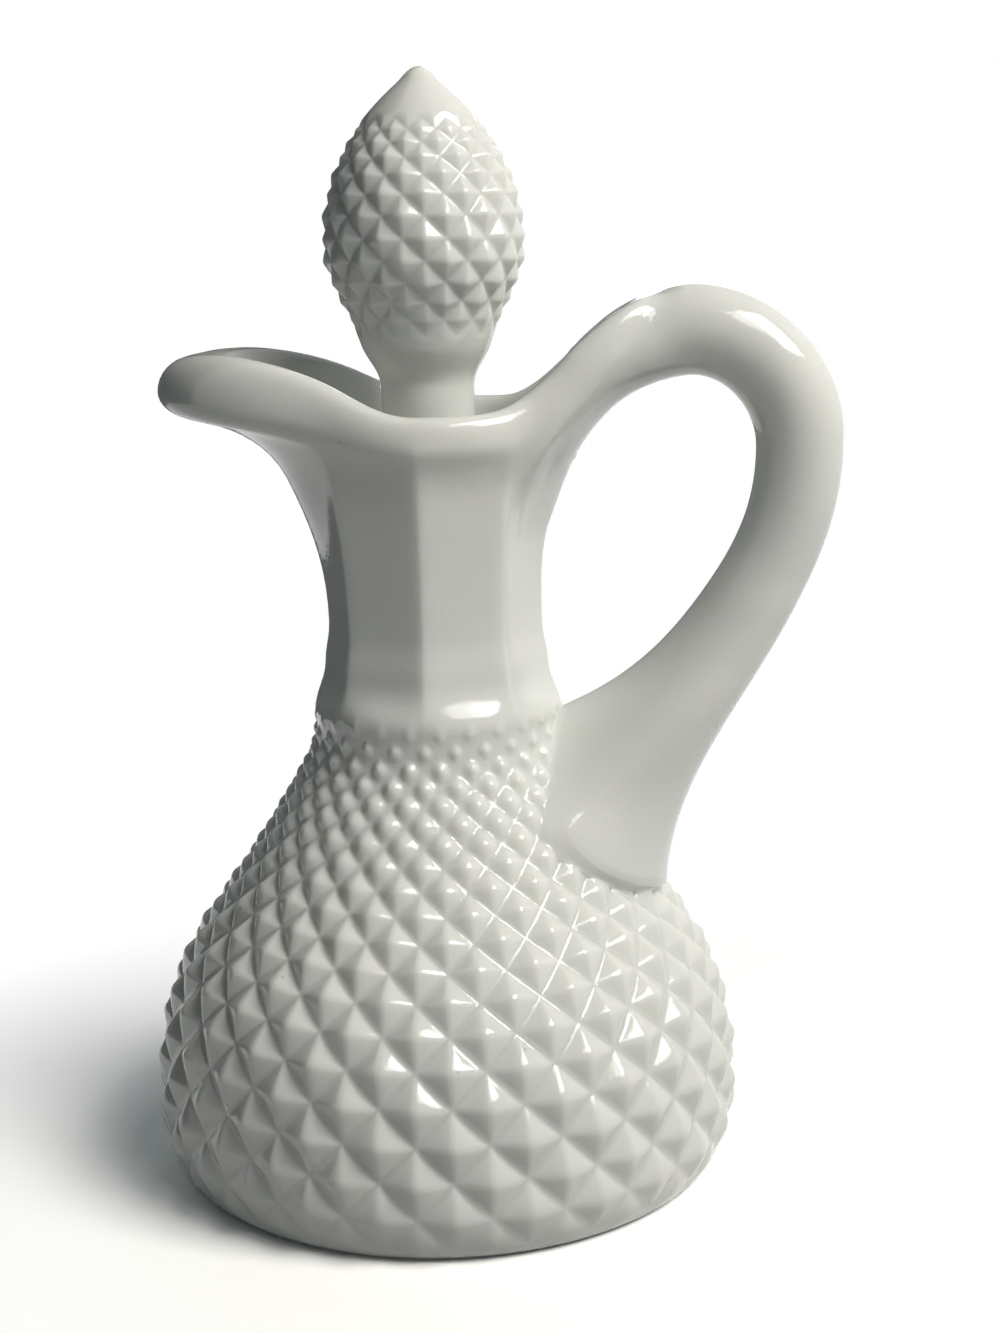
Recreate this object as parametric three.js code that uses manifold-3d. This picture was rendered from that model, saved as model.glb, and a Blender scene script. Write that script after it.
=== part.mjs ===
// Pressed milk-glass bottle for oil or vinegar, with a pouring lip, one handle and a loose glass stopper.
// Units are millimetres. The origin is at the middle of the foot, +Z is up, the pouring lip points to -X
// and the handle to +X. Angles around the axis start at the front, -Y, and grow towards the handle.
import * as THREE from 'three';
import { mergeVertices } from 'three/addons/utils/BufferGeometryUtils.js';
import Module from 'manifold-3d';

// Bowl and its diamond points
const diamondsRound = 26;
const bowlRadius = 45.4;
const bellyHeight = 12;
const footRadius = 40.2;
const footCorner = 1.4;
const slopeRadius = 37;
const slopeHeight = 38.8;
const shoulderRadius = 18.8;
const topRowHeight = 70.6;
const bowlRows = 20;
const topRowStretch = 1.09;
const pointRise = 0.34;
const softRowsAtNeck = 3;
const softRowsAtFoot = 2.5;
const wall = 5.6;
const baseThickness = 7;
const floorFillet = 5;

// Neck, throat and pouring lip
const neckRadius = 16.4;
const waistHeight = 84;
const neckPanels = 8;
const panelFade = 6;
const lipRows = 18;
const lipHeight = 116.4;
const lipRadius = 18;
const rimThickness = 3.6;
const spoutReach = 40.4;
const spoutHeight = 126;
const spoutNotch = 1.6;
const notchSharpness = 40;
const spoutSharpness = 7;
const spoutSpread = 0.15;
const spoutClimb = 1.9;
const throatRadius = 8.6;
const throatFloor = 86;
const seatRadius = 9.9;
const seatHeight = 104.4;

// Handle
const handleReach = 61;
const handleTop = 133.6;
const handleHeight = 110.6;
const handleThickness = 12.8;
const handleWidth = 12.2;
const handleLipWidth = 18;
const tongueSharpness = 10;
const tongueArch = 0.6;
const tongueFoot = 0.08;
const padWidth = 36;
const padFlare = 0.45;
const padSweep = 2.5;
const rootDepth = 8;

// Stopper and the soft sleeve that seals it
const knobDiamonds = 14;
const knobRadius = 15;
const knobHeight = 140.2;
const knobTop = 165;
const knobFirstRow = 157.8;
const knobRows = 12;
const softRowsAtTip = 4;
const softRowsAtShank = 4;
const shankRadius = 6.95;
const shankTop = 119.4;
const shankEnd = 88;
const shankChamfer = 1;
const stopperTurn = 7;
const clearance = 0.3;
const sleeveWall = 0.8;
const sleeveFloor = 1.1;
const flangeThickness = 1.1;
const sleeveRibs = 3;
const sleeveRibWidth = 1.5;

const wasm = await Module();
wasm.setup();

const { clamp, lerp, smoothstep, degToRad } = THREE.MathUtils;
const point = (x, y) => new THREE.Vector2(x, y);
const columns = 2 * diamondsRound;

// Smooth outline through knots, each given as distance from the axis, height and heading in degrees
function outline(knots) {
  const lean = 0.37;
  const path = new THREE.Path();
  path.moveTo(knots[0][0], knots[0][1]);
  for (let knot = 1; knot < knots.length; knot++) {
    const [fromX, fromY, fromHeading] = knots[knot - 1];
    const [toX, toY, toHeading] = knots[knot];
    const reach = lean * Math.hypot(toX - fromX, toY - fromY);
    const leaving = degToRad(fromHeading);
    const arriving = degToRad(toHeading);
    path.bezierCurveTo(
      fromX + reach * Math.cos(leaving), fromY + reach * Math.sin(leaving),
      toX - reach * Math.cos(arriving), toY - reach * Math.sin(arriving),
      toX, toY);
  }
  return path;
}

// Point of an outline by its pieces: 2.5 is halfway through the third
function onPiece(path, along) {
  const piece = Math.min(path.curves.length - 1, Math.floor(along + 1e-6));
  return path.curves[piece].getPoint(along - piece);
}

// How far along a falling outline a height is reached
function lengthToHeight(curve, height) {
  const steps = 400;
  let step = 0;
  while (step < steps && curve.getPointAt(step / steps).y > height) step++;
  return curve.getLength() * step / steps;
}

// Keeps only positions, joins equal corners and drops faces that shrank to a line
function welded(geometry) {
  geometry.deleteAttribute('normal');
  geometry.deleteAttribute('uv');
  const joined = mergeVertices(geometry, 1e-4);
  const index = joined.index.array;
  const kept = [];
  for (let i = 0; i < index.length; i += 3) {
    const [a, b, c] = [index[i], index[i + 1], index[i + 2]];
    if (a !== b && b !== c && c !== a) kept.push(a, b, c);
  }
  joined.setIndex(kept);
  return joined;
}

function toSolid(geometry) {
  const joined = welded(geometry);
  const vertProperties = new Float32Array(joined.attributes.position.array);
  const triVerts = new Uint32Array(joined.index.array);
  return new wasm.Manifold(new wasm.Mesh({ numProp: 3, vertProperties, triVerts }));
}

function toGeometry(solid) {
  const mesh = solid.getMesh();
  const geometry = new THREE.BufferGeometry();
  geometry.setAttribute('position', new THREE.BufferAttribute(mesh.vertProperties, 3));
  geometry.setIndex(new THREE.BufferAttribute(mesh.triVerts, 1));
  return geometry;
}

// A lathe around +Z whose every corner may be moved. shapeAt(row, column) gives the corner's radius,
// height and angle; pointed(row, column) says where a diamond has its point, so faces fold on the grooves.
function turned(profile, count, shapeAt, pointed = () => false) {
  const geometry = new THREE.LatheGeometry(profile, count);
  const rows = profile.length;
  const position = geometry.attributes.position;
  const index = [];
  for (let column = 0; column <= count; column++) {
    for (let row = 0; row < rows; row++) {
      const { x, y, around = (column % count) * 2 * Math.PI / count } = shapeAt(row, column % count);
      position.setXYZ(column * rows + row, x * Math.sin(around), y, x * Math.cos(around));
    }
  }
  for (let column = 0; column < count; column++) {
    for (let row = 0; row < rows - 1; row++) {
      const a = column * rows + row;
      const b = a + rows;
      if (pointed(row, column)) index.push(a, b, a + 1, b + 1, a + 1, b);
      else index.push(a, b, b + 1, b + 1, a + 1, a);
    }
  }
  geometry.setIndex(index);
  return geometry.rotateX(Math.PI / 2);
}

// Rows of half diamonds down an outline: each step is as long as half a diamond is wide, times a stretch
// that dies away from the first row to the last
function diamondRows(curve, start, count, diamonds, stretch = 1) {
  const length = curve.getLength();
  const rows = [];
  let travelled = start;
  for (let row = 0; row < count && travelled < length; row++) {
    const place = curve.getPointAt(travelled / length);
    const run = curve.getTangentAt(travelled / length);
    const step = Math.PI * place.x / diamonds * lerp(stretch, 1, row / count);
    rows.push({ place, outward: point(-run.y, run.x), depth: pointRise * step });
    travelled += step;
  }
  return rows;
}

// Corner of a row of diamonds: out on the outline where a point stands, and in the groove beside it
function diamondCorner({ place, outward, depth }, isPoint, strength) {
  const inset = isPoint ? 0 : depth * Math.min(1, strength);
  return point(place.x - outward.x * inset, place.y - outward.y * inset);
}

// Outline over the points of the bowl, from the neck down to the foot
function bowlCurve() {
  return outline([
    [neckRadius + 0.8, topRowHeight + 7.4, -88],
    [shoulderRadius, topRowHeight, -90],
    [shoulderRadius + 5.1, topRowHeight - 12.8, -59],
    [slopeRadius, slopeHeight, -54],
    [bowlRadius, bellyHeight, -90],
    [footRadius + footCorner, footCorner / 2, -136],
  ]);
}

// Share of full octagon at a height: the panels run out into the bowl and into the lip
function panelShare(height) {
  const lipRoot = lipHeight - 2 * panelFade;
  return smoothstep(height, topRowHeight, topRowHeight + panelFade)
    * (1 - smoothstep(height, lipRoot, lipRoot + 2 * panelFade));
}

// Angle of a column on the neck, where one column stands on each corner of the octagon
function panelAngle(column) {
  const perPanel = columns / neckPanels;
  const panel = Math.floor(column / perPanel);
  const first = Math.round(panel * perPanel);
  const next = Math.round((panel + 1) * perPanel);
  return (panel + (column - first) / (next - first)) * 2 * Math.PI / neckPanels;
}

// Moves a corner of the neck in to the octagon's flat side
function onPanel(radius, height, column) {
  const share = panelShare(height);
  const panel = 2 * Math.PI / neckPanels;
  const around = lerp(column * 2 * Math.PI / columns, panelAngle(column), share);
  const x = radius * lerp(1, Math.cos(panel / 2) / Math.cos(around % panel - panel / 2), share);
  return { x, y: height, around };
}

// Sections through neck and lip, from the waist over the crest to the stopper's seat. All three have
// the same knots, so that the lip can be drawn from the one at the side towards the other two.
const seatTop = seatHeight + flangeThickness + clearance;
const sideRib = outline([
  [neckRadius, waistHeight, 90],
  [neckRadius + 0.9, lipHeight - 14, 84],
  [lipRadius + 0.4, lipHeight - 8, 74],
  [lipRadius + rimThickness / 2 - 0.2, lipHeight - 4, 98],
  [lipRadius - 0.7, lipHeight, 180],
  [lipRadius - rimThickness, lipHeight - 4, 240],
  [seatRadius, seatTop, 225],
]);
const spoutRib = outline([
  [neckRadius, waistHeight, 90],
  [neckRadius + 5.5, lipHeight - 10.5, 65],
  [spoutReach - 4.1, lipHeight - 0.8, 10],
  [spoutReach, lipHeight + 2.9, 90],
  [spoutReach - 6.4, spoutHeight, 180],
  [spoutReach - 15.5, spoutHeight - 7.5, 228],
  [seatRadius, seatTop, 222],
]);
const handleRib = outline([
  [neckRadius, waistHeight, 90],
  [neckRadius + 2.4, lipHeight - 14.4, 67],
  [neckRadius + 6.8, lipHeight - 5.4, 60],
  [lipRadius + 17, handleTop - 5, 70],
  [lipRadius + 16, handleTop - 1.2, 180],
  [lipRadius + 7.2, handleTop - 10.4, 229],
  [seatRadius, seatTop, 226],
]);
const crest = lipRows * 4 / sideRib.curves.length;

// Corner of the neck or lip: the section at the side drawn out towards the pouring lip, and in a narrow
// tongue that runs up on top of the handle
function lipCorner(station, column) {
  const around = column * 2 * Math.PI / columns;
  const toSpout = Math.max(0, -Math.sin(around));
  const toHandle = Math.max(0, Math.sin(around));
  const [side, spout, handle] = [sideRib, spoutRib, handleRib].map((rib) => (
    onPiece(rib, station * rib.curves.length / lipRows)));
  const notch = spoutNotch * toSpout ** notchSharpness * Math.max(0, 1 - Math.abs(station - crest) / 3);
  const beak = lerp(toSpout ** spoutSharpness, toSpout ** 2, spoutSpread);
  const tongue = toHandle ** tongueSharpness;
  const risen = lerp(tongue + tongueArch * tongue ** 2 * (1 - tongue), toHandle ** 4, tongueFoot);
  const x = side.x + beak * (spout.x - side.x) + tongue * (handle.x - side.x);
  const y = side.y + toSpout ** spoutClimb * (spout.y - side.y) + risen * (handle.y - side.y) - notch;
  return station < crest ? onPanel(x, y, column) : point(x, y);
}

// Inside of the bottle from the seat down: the bowl's outline set in by the wall, above a thick base
function cavityProfile(curve) {
  const profile = [
    point(seatRadius, seatHeight), point(throatRadius, seatHeight), point(throatRadius, throatFloor)];
  const stations = 10;
  const top = lengthToHeight(curve, topRowHeight);
  const bottom = lengthToHeight(curve, baseThickness + floorFillet);
  for (let station = 0; station <= stations; station++) {
    const along = lerp(top, bottom, station / stations) / curve.getLength();
    const place = curve.getPointAt(along);
    const run = curve.getTangentAt(along);
    profile.push(point(place.x + run.y * wall, place.y - run.x * wall));
  }
  const corner = profile.at(-1);
  const fillet = new THREE.Path();
  fillet.absarc(corner.x - floorFillet, corner.y, corner.y - baseThickness, 0, -Math.PI / 2, true);
  return [...profile, ...fillet.getPoints(3).slice(1), point(0, baseThickness)];
}

// The bottle without its handle
function vessel() {
  const curve = bowlCurve();
  const start = lengthToHeight(curve, topRowHeight);
  const rows = diamondRows(curve, start, bowlRows, diamondsRound, topRowStretch).reverse();
  const foot = [point(0, 0), point(footRadius, 0)];
  const neck = [0.7, 0.4, 0].map((share) => curve.getPointAt(share * start / curve.getLength()));
  const inside = cavityProfile(curve);
  const firstNeck = foot.length + rows.length;
  const firstRib = firstNeck + neck.length;
  const firstInside = firstRib + lipRows + 1;
  const ribs = sideRib.getSpacedPoints(lipRows);
  const profile = [...foot, ...rows.map(({ place }) => place), ...neck, ...ribs, ...inside];
  const inBand = (row) => row >= foot.length && row < firstNeck;
  const isPoint = (row, column) => (firstNeck - 1 - row + column) % 2 === 1;

  function shapeAt(row, column) {
    if (row >= firstInside || row < foot.length) return profile[row];
    if (row >= firstRib) return lipCorner(row - firstRib, column);
    if (!inBand(row)) return onPanel(profile[row].x, profile[row].y, column);
    const strength = Math.min((firstNeck - row) / softRowsAtNeck, (row - foot.length + 0.5) / softRowsAtFoot);
    return diamondCorner(rows[row - foot.length], isPoint(row, column), strength);
  }

  const folds = (row, column) => !inBand(row) || isPoint(row, column);
  return toSolid(turned(profile, columns, shapeAt, folds));
}

// Space inside the bottle, carried up past the lip, to trim the handle where it would fill it
function hollow() {
  const top = handleTop + handleThickness;
  const profile = cavityProfile(bowlCurve()).reverse();
  const firstRib = profile.length;
  for (let station = lipRows; station >= crest; station--) profile.push(lipCorner(station, 0));
  profile.push(point(lipRadius, top), point(0, top));
  const shapeAt = (row, column) => {
    if (row < firstRib || row === profile.length - 1) return profile[row];
    const corner = lipCorner(Math.max(crest, lipRows - row + firstRib), column);
    return row === profile.length - 2 ? point(corner.x, top) : corner;
  };
  return toSolid(turned(profile, columns, shapeAt));
}

// A rail of the handle with straight ends, one in the wall of the lip and one in the wall of the bowl
function rooted(start, rail) {
  const first = rail.getPoint(0);
  const last = rail.getPoint(1);
  rail.curves.unshift(new THREE.LineCurve(start, first));
  return rail.lineTo(last.x - rootDepth, last.y - rootDepth / 2);
}

// Curve inside the handle's loop, from the lip round to the bowl
function innerRail() {
  const reach = handleReach - handleThickness;
  return rooted(point(neckRadius - 0.4, lipHeight - 12), outline([
    [neckRadius + 5.1, lipHeight - 8.6, 65],
    [reach - 9.6, handleTop - handleThickness - 0.4, 0],
    [reach, handleHeight - 0.6, -90],
    [slopeRadius + 4.5, topRowHeight + 19.4, -124],
    [shoulderRadius + 1.7, topRowHeight + 0.8, -156],
  ]));
}

// Curve over the outside of the handle, with as many pieces as the inner one
function outerRail() {
  return rooted(point(lipRadius - 0.4, lipHeight - 5), outline([
    [lipRadius + 4, handleTop - 15.1, 50],
    [handleReach - 22.1, handleTop, 0],
    [handleReach, handleHeight + 0.7, -90],
    [slopeRadius + 17, topRowHeight + 15.1, -117],
    [slopeRadius - 2.3, slopeHeight + 4.2, -94],
  ]));
}

// The handle: a round bar drawn between the two curves, which spreads into a broad pad on the bowl
function handle() {
  const inner = innerRail();
  const outer = outerRail();
  const pieces = inner.curves.length;
  const section = new THREE.Shape().absarc(0, 0, 1, 0, 2 * Math.PI, false);
  const bar = new THREE.ExtrudeGeometry(section, {
    depth: pieces, steps: 6 * pieces, curveSegments: 16, bevelEnabled: false });
  const position = bar.attributes.position;
  for (let corner = 0; corner < position.count; corner++) {
    const across = position.getX(corner);
    const along = position.getZ(corner);
    const near = onPiece(inner, along);
    const far = onPiece(outer, along);
    const atPad = clamp((along - pieces + 2.5) / 1.5, 0, 1) ** padSweep;
    const neckEnd = lerp(handleLipWidth, handleWidth, smoothstep(along, 1, 2));
    const width = lerp(neckEnd, padWidth * (1 + padFlare * across), atPad);
    const aside = -position.getY(corner) * width / 2;
    const ring = Math.sqrt(Math.max(0, lipRadius ** 2 - aside ** 2));
    const wrap = (1 - smoothstep(along, 0.8, 1.7)) * (lipRadius - ring);
    const share = (1 + across) / 2;
    position.setXYZ(corner, lerp(near.x, far.x, share) - wrap, aside, lerp(near.y, far.y, share));
  }
  return toSolid(bar);
}

function cruetBody() {
  return toGeometry(vessel().add(handle().subtract(hollow())));
}

// Outline over the points of the knob, from its tip down to the shank
function knobCurve() {
  return outline([
    [0, knobTop, 0],
    [3.4, knobTop - 2.4, -40],
    [knobRadius, knobHeight, -90],
    [shankRadius + 2.7, shankTop + 6.3, -108],
    [shankRadius, shankTop, -90],
  ]);
}

function stopper() {
  const curve = knobCurve();
  const start = lengthToHeight(curve, knobFirstRow);
  const rows = diamondRows(curve, start, knobRows, knobDiamonds).reverse();
  const end = lengthToHeight(curve, rows[0].place.y);
  const between = (from, to, count) => Array.from({ length: count }, (_, step) => (
    curve.getPointAt(lerp(from, to, step / count) / curve.getLength())));
  const tip = between(0, start * 0.9, 6).reverse();
  const waist = between(curve.getLength(), end, 4);
  const shank = [point(0, shankEnd), point(shankRadius - shankChamfer, shankEnd),
    point(shankRadius, shankEnd + shankChamfer), point(shankRadius, (shankTop + shankEnd) / 2)];
  const firstRow = shank.length + waist.length;
  const firstTip = firstRow + rows.length;
  const profile = [...shank, ...waist, ...rows.map(({ place }) => place), ...tip];
  const inBand = (row) => row >= firstRow && row < firstTip;
  const isPoint = (row, column) => (firstTip - row + column) % 2 === 0;

  function shapeAt(row, column) {
    if (!inBand(row)) return profile[row];
    const strength = Math.min((firstTip - row + 1) / softRowsAtTip, (row - firstRow + 1) / softRowsAtShank);
    return diamondCorner(rows[row - firstRow], isPoint(row, column), strength);
  }

  const folds = (row, column) => !inBand(row) || isPoint(row, column);
  return toGeometry(toSolid(turned(profile, 2 * knobDiamonds, shapeAt, folds)));
}

// Soft cup pressed onto the shank: its ribs seal the throat and its flange sits on the ledge
function sealingSleeve() {
  const inner = shankRadius + clearance;
  const outer = inner + sleeveWall;
  const ribOuter = throatRadius - clearance;
  const floorTop = shankEnd - clearance;
  const bottom = floorTop - sleeveFloor;
  const flangeBottom = seatHeight + clearance;
  const flangeOuter = seatRadius - clearance;
  const top = flangeBottom + flangeThickness;
  const pitch = (flangeBottom - bottom) / (sleeveRibs + 1);
  const profile = [point(0, bottom), point(outer - sleeveFloor, bottom), point(outer, bottom + sleeveFloor)];
  for (let rib = 1; rib <= sleeveRibs; rib++) {
    const height = bottom + rib * pitch;
    profile.push(
      point(outer, height - sleeveRibWidth / 2), point(ribOuter, height - sleeveRibWidth / 4),
      point(ribOuter, height + sleeveRibWidth / 4), point(outer, height + sleeveRibWidth / 2));
  }
  profile.push(
    point(outer, flangeBottom), point(flangeOuter, flangeBottom),
    point(flangeOuter, top), point(inner, top),
    point(inner, floorTop), point(0, floorTop));
  return new THREE.LatheGeometry(profile, 40).rotateX(Math.PI / 2);
}

function milkGlass(name) {
  return new THREE.MeshStandardMaterial({ name, color: '#e9e7e0', roughness: 0.12, metalness: 0 });
}

function named(name, geometry, material) {
  const mesh = new THREE.Mesh(geometry, material);
  mesh.name = name;
  return mesh;
}

const cruet = new THREE.Group();
cruet.add(named('cruet_body', cruetBody(), milkGlass('body_glass')));

const closure = new THREE.Group();
closure.rotation.z = degToRad(stopperTurn);
closure.add(named('stopper', stopper(), milkGlass('stopper_glass')));
closure.add(named('sealing_sleeve', sealingSleeve(),
  new THREE.MeshStandardMaterial({ name: 'soft_plastic', color: '#dfe2df', roughness: 0.45, metalness: 0 })));
cruet.add(closure);

export default cruet;
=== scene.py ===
# Looks for the pressed milk-glass bottle: glass with its relief, the soft sleeve, studio and camera.
# Outlines are worked out in millimetres and each finished mesh is scaled to metres.
from bisect import bisect
from math import atan2, cos, exp, hypot, log, pi, radians, sin, sqrt

import bmesh
import bpy
from mathutils import Matrix, Vector
from mathutils.bvhtree import BVHTree
from mathutils.geometry import interpolate_bezier
from mathutils.kdtree import KDTree


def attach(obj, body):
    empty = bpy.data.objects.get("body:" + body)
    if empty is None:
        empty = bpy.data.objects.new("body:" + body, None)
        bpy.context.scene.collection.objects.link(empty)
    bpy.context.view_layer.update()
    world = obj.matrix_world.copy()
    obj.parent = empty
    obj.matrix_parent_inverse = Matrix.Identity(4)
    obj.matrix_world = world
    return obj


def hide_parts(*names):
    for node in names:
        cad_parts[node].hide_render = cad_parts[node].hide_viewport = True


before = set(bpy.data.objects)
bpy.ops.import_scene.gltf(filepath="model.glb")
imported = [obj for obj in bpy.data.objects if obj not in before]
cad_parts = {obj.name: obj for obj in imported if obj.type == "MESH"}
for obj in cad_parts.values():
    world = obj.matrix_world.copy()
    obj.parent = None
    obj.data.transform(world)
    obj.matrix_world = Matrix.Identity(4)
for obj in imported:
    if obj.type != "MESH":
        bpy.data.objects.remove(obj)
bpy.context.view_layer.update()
millimetre = 0.001


# Curves: each knot is distance from the axis, height and heading in degrees

curveSteps = 48  # straight steps in each piece of a curve
curvePull = 0.37  # how far a knot's heading holds, as a share of the piece
tinyGap = 0.0001  # corners closer together than this are one


def outline(knots, perPiece=curveSteps):
    points = []
    for (fromX, fromZ, fromTurn), (toX, toZ, toTurn) in zip(knots, knots[1:]):
        reach = curvePull * hypot(toX - fromX, toZ - fromZ)
        leave, arrive = radians(fromTurn), radians(toTurn)
        points += interpolate_bezier(
            (fromX, fromZ, 0),
            (fromX + reach * cos(leave), fromZ + reach * sin(leave), 0),
            (toX - reach * cos(arrive), toZ - reach * sin(arrive), 0),
            (toX, toZ, 0), perPiece + 1)[:-1]
    return points + [Vector((knots[-1][0], knots[-1][1], 0))]


def measured(points):
    lengths = [0.0]
    for start, end in zip(points, points[1:]):
        lengths.append(lengths[-1] + (end - start).length)
    return points, lengths


def onCurve(curve, distance):
    points, lengths = curve
    step = min(max(bisect(lengths, distance) - 1, 0), len(points) - 2)
    share = (distance - lengths[step]) / (lengths[step + 1] - lengths[step])
    before = points[step + 1] - points[max(step - 1, 0)]
    after = points[min(step + 2, len(points) - 1)] - points[step]
    place = points[step].lerp(points[step + 1], share)
    return place, before.lerp(after, share).normalized()


def lengthToHeight(curve, height):  # how far down a falling curve a height is reached
    points, lengths = curve
    for step, (high, low) in enumerate(zip(points, points[1:])):
        if low.y <= height:
            share = (high.y - height) / (high.y - low.y)
            return lengths[step] + share * (lengths[step + 1] - lengths[step])
    return lengths[-1]


def onKnots(points, along):  # place by the curve's pieces: 2.5 is halfway through the third
    step = min(max(int(along * curveSteps), 0), len(points) - 2)
    return points[step].lerp(points[step + 1], along * curveSteps - step)


def mix(low, high, share):
    return low + (high - low) * share


def fade(value, low, high):
    share = min(max((value - low) / (high - low), 0), 1)
    return share * share * (3 - 2 * share)


# Turned pieces: a profile is spun, then every corner goes to its place on the relief

spacing = (0, 0.12, 0.3, 0.5, 0.7, 0.88)  # of a half diamond: close together along the ridges


def spunShell(places, count):
    shell = bmesh.new()
    rowOf = shell.verts.layers.int.new("row")
    last = None
    for row, place in enumerate(places):
        distance, height, _ = place(0)
        corner = shell.verts.new((0, -distance, height))
        corner[rowOf] = row
        if last:
            shell.edges.new((last, corner))
        last = corner
    bmesh.ops.spin(
        shell, geom=shell.verts[:] + shell.edges[:], cent=(0, 0, 0), axis=(0, 0, 1), dvec=(0, 0, 0),
        angle=2 * pi, space=Matrix.Identity(4), steps=count, use_merge=True,
        use_normal_flip=False, use_duplicate=False)
    columnOf = shell.verts.layers.int.new("column")
    rowOf = shell.verts.layers.int["row"]
    for corner in shell.verts:
        column = round(atan2(corner.co.x, -corner.co.y) / (2 * pi) * count) % count
        corner[columnOf] = column
        distance, height, around = places[corner[rowOf]](column)
        corner.co = (distance * sin(around), -distance * cos(around), height)
    return shell


def foldAlongGrooves(shell, bandRows, count):  # each square is split the way the nearest groove runs
    rowOf = shell.verts.layers.int["row"]
    columnOf = shell.verts.layers.int["column"]
    fine = len(spacing)
    for face in shell.faces[:]:
        rows = [corner[rowOf] for corner in face.verts]
        if len(rows) != 4 or min(rows) < bandRows[0] or max(rows) > bandRows[1]:
            continue
        columns = [corner[columnOf] for corner in face.verts]
        first = max(columns) if max(columns) - min(columns) > 1 else min(columns)
        fromTop = bandRows[1] - max(rows)
        falling = (fromTop // fine + first // fine) % 2 == 0
        bottomLeft = [n for n in range(4) if rows[n] == min(rows) and columns[n] == first][0]
        start = bottomLeft if not falling else (bottomLeft + 1) % 4
        bmesh.utils.face_split(face, face.verts[start], face.verts[(start + 2) % 4])


def closedUp(shell):
    bmesh.ops.remove_doubles(shell, verts=shell.verts, dist=tinyGap)
    bmesh.ops.dissolve_degenerate(shell, dist=tinyGap, edges=shell.edges)
    bmesh.ops.recalc_face_normals(shell, faces=shell.faces)


def pieceFrom(shell, name):
    bmesh.ops.scale(shell, vec=(millimetre,) * 3, verts=shell.verts)
    mesh = bpy.data.meshes.new(name)
    shell.to_mesh(mesh)
    shell.free()
    mesh.polygons.foreach_set("use_smooth", [True] * len(mesh.polygons))
    piece = bpy.data.objects.new(name, mesh)
    bpy.context.scene.collection.objects.link(piece)
    return piece


# Diamond points

def diamondBands(curve, start, relief):  # half diamonds down a curve, each as long as it is wide
    bands = []
    travelled = start
    while len(bands) < relief["bands"] and travelled < curve[1][-1]:
        place, _ = onCurve(curve, travelled)
        stretch = mix(relief["stretch"], 1, len(bands) / relief["bands"])
        step = pi * place.x / relief["diamonds"] * stretch
        bands.append((travelled, step))
        travelled += step
    return bands


def insetAt(across, down, relief):  # 0 on a diamond's point, 1 in the groove around it
    column, band = int(across), int(down)
    side, fall = across - column, down - band  # the place inside one half diamond
    if (column + band) % 2 == 0:
        side = 1 - side
    if side + fall > 1:
        side, fall = 1 - side, 1 - fall
    soft = relief["ridge"] * (1 - side - fall) + 1e-6  # rounds the ridges, and never comes to zero
    slopes = sqrt(side * side + soft * soft) + sqrt(fall * fall + soft * soft) - 2 * soft
    pyramid = max(0, slopes) ** relief["bulge"]
    bead = mix(*relief["bead"], fade(down, 0, relief["beadsUntil"][0]))
    dome = max(0, 1 - (side * side + fall * fall) / bead ** 2) ** relief["dome"]
    return mix(1 - dome, pyramid, fade(down, *relief["beadsUntil"]))


def reliefRows(curve, start, relief, turn=0):
    bands = diamondBands(curve, start, relief)
    total = len(bands)
    columns = 2 * relief["diamonds"]
    rows = []

    def rowAt(down, distance, depth):
        place, run = onCurve(curve, distance)
        outward = Vector((-run.y, run.x, 0))
        strength = min(1, (down + relief["topLead"]) / relief["softTop"])
        strength *= min(1, max(0, total - 1 - down + relief["footLead"]) / relief["softFoot"])

        def cornerAt(column):
            across = column // len(spacing) + spacing[column % len(spacing)]
            inset = depth * strength * insetAt(across, down, relief)
            corner = place - outward * inset
            return corner.x, corner.y, across * 2 * pi / columns + turn
        return cornerAt

    for band in range(total - 1):
        travelled, step = bands[band]
        gap = bands[band + 1][0] - travelled
        for share in spacing:
            down = band + share
            depth = relief["rise"] * mix(step, bands[band + 1][1], share)
            rows.append(rowAt(down, travelled + share * gap, depth))
    travelled, step = bands[-1]
    rows.append(rowAt(total - 1, travelled, relief["rise"] * step))
    return rows, travelled


# The bottle

bottle = {  # millimetres; a place is distance from the axis and height
    "diamonds": 26, "bands": 20, "stretch": 1.09, "rise": 0.34, "topLead": 1, "softTop": 3,
    "footLead": 0.5, "softFoot": 2.5, "ridge": 0.13, "bulge": 1.02,
    "bead": (0.45, 0.8), "dome": 1.25, "beadsUntil": (5, 11),
    "neckRadius": 16.4, "waistHeight": 84, "topRow": 70.6, "shoulder": 18.8,
    "panels": 8, "panelFade": 6, "panelEdge": 0.012,
    "slope": (37, 38.8), "belly": (45.4, 12), "foot": 40.2, "footCorner": 1.4, "footRing": 20,
    "wall": 5.6, "base": 7, "floorFillet": 5, "throat": (8.6, 86), "throatRing": 95,
    "seat": (9.9, 104.4), "seatTop": 105.8, "seatEdge": 0.25,
    "lip": (18, 116.4), "rim": 3.6, "spout": (40.4, 126), "spoutNotch": 1.6,
    "notchSharpness": 40, "spoutSharpness": 7, "spoutSpread": (2, 0.15), "spoutClimb": 1.9,
    "tongueSharpness": 10, "tongueArch": 0.6, "tongueSpread": (4, 0.08),
}
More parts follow.
